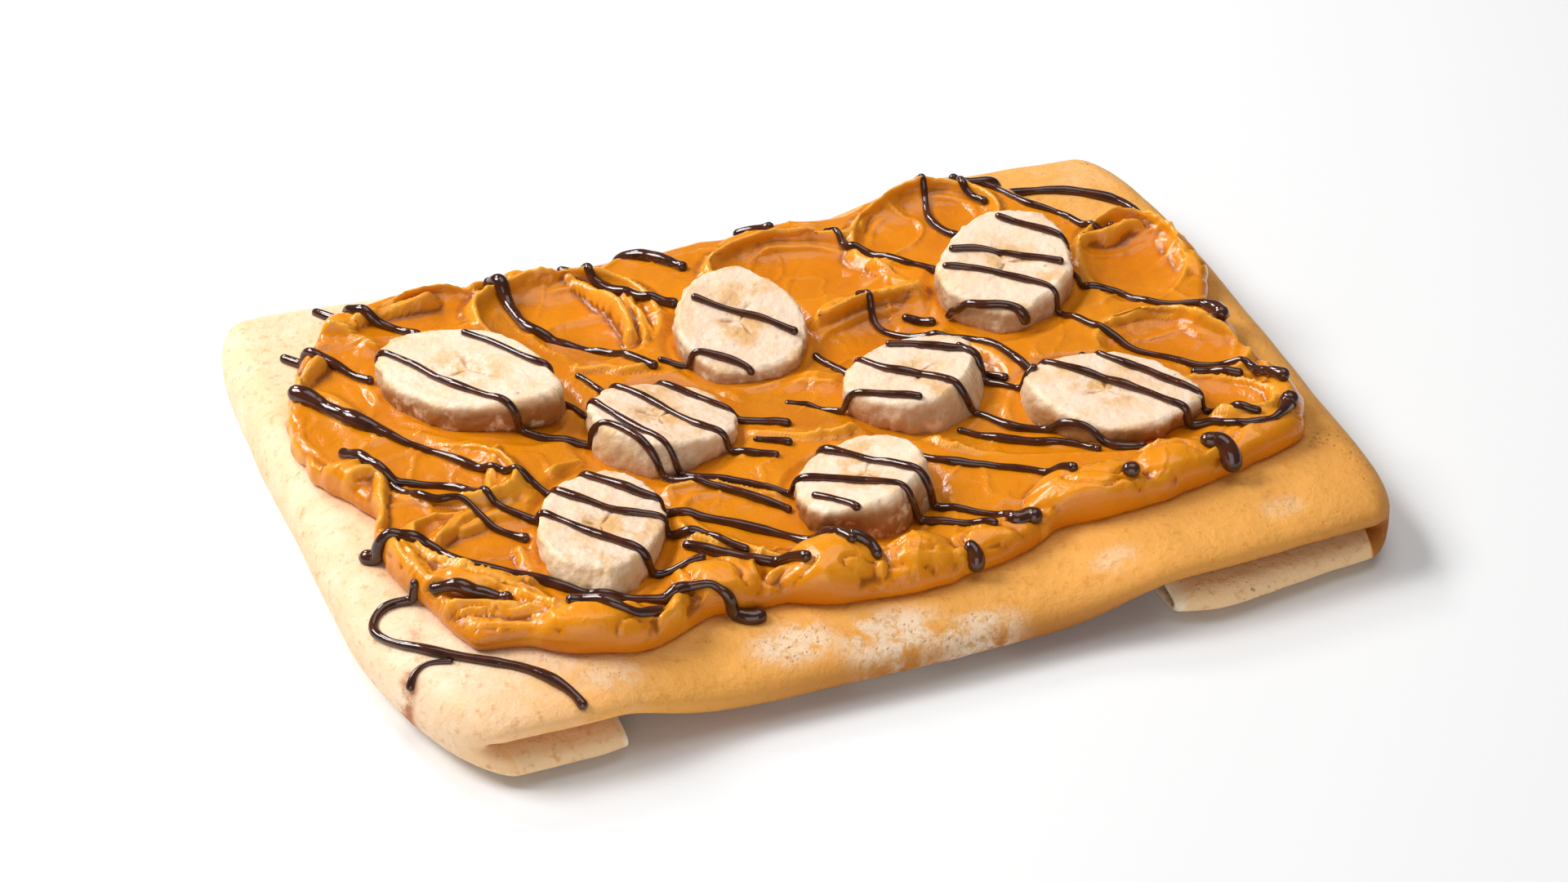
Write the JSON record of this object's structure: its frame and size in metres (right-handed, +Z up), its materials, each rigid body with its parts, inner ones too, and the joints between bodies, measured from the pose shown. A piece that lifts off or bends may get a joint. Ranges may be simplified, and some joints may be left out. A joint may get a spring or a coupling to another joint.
{
  "type": "folded crepe",
  "caption": "Crepe folded into a long flat parcel, topped with thick glossy spread, round banana slices and thin trails of chocolate drizzle.",
  "frame": {"origin": "middle of the underside, on the surface the crepe rests on", "axes": "+X along the long side towards the end with the curled flap, -Y towards the rolled front edge, +Z up"},
  "size_m": [0.2518, 0.178, 0.0337],
  "materials": {
    "crepe": "soft baked batter, matte, pale to golden",
    "spread": "thick smooth spread, glossy",
    "banana": "cut fruit, slightly moist"
  },
  "bodies": {
    "root": {"crepe": "crepe", "spread": "spread", "banana_slice_1": "banana", "banana_slice_2": "banana", "banana_slice_3": "banana", "banana_slice_4": "banana", "banana_slice_5": "banana", "banana_slice_6": "banana", "banana_slice_7": "banana", "banana_slice_8": "banana"}
  },
  "joints": []
}
